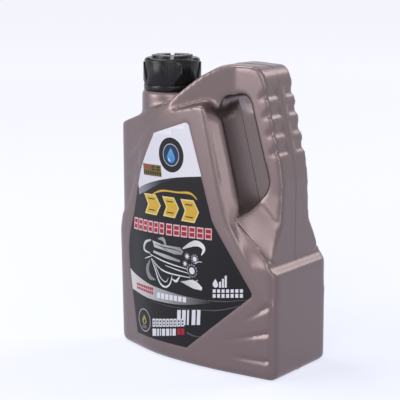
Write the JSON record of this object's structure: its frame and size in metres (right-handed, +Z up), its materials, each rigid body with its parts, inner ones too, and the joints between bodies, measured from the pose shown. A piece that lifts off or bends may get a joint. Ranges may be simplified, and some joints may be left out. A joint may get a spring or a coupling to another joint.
{
  "type": "motor oil bottle",
  "caption": "Blow-moulded engine oil bottle with a moulded-in handle, finger grips, angled shoulder, ribbed screw cap with tamper ring, and a front label.",
  "frame": {"origin": "centre of the foot, on the surface it stands on", "axes": "+Z up, +X towards the handle, -Y the labelled front"},
  "size_m": [0.165, 0.078, 0.2313],
  "materials": {
    "bottle": "pearl satin",
    "closure": "satin",
    "liner": "matte",
    "label": "printed film, satin",
    "sticker": "metallic film"
  },
  "bodies": {
    "bottle": {"bottle_body": "bottle", "tamper_ring": "closure", "front_label": "label", "security_sticker": "sticker"},
    "liner": {"cap_liner": "liner"},
    "closure": {"cap": "closure"}
  },
  "joints": [
    {"name": "cap_lift", "type": "slide", "parent": "bottle", "child": "liner", "axis": [0, 0, 1], "range_m": [0, 0.024]},
    {"name": "cap_turn", "type": "hinge", "parent": "liner", "child": "closure", "pos_m": [-0.0345, 0, 0.2266], "axis": [0, 0, 1], "range_deg": [0, 1440.1]}
  ],
  "couplings": [
    {"joint": "cap_turn", "follows": "cap_lift", "rad_per_m": 1047.2}
  ]
}
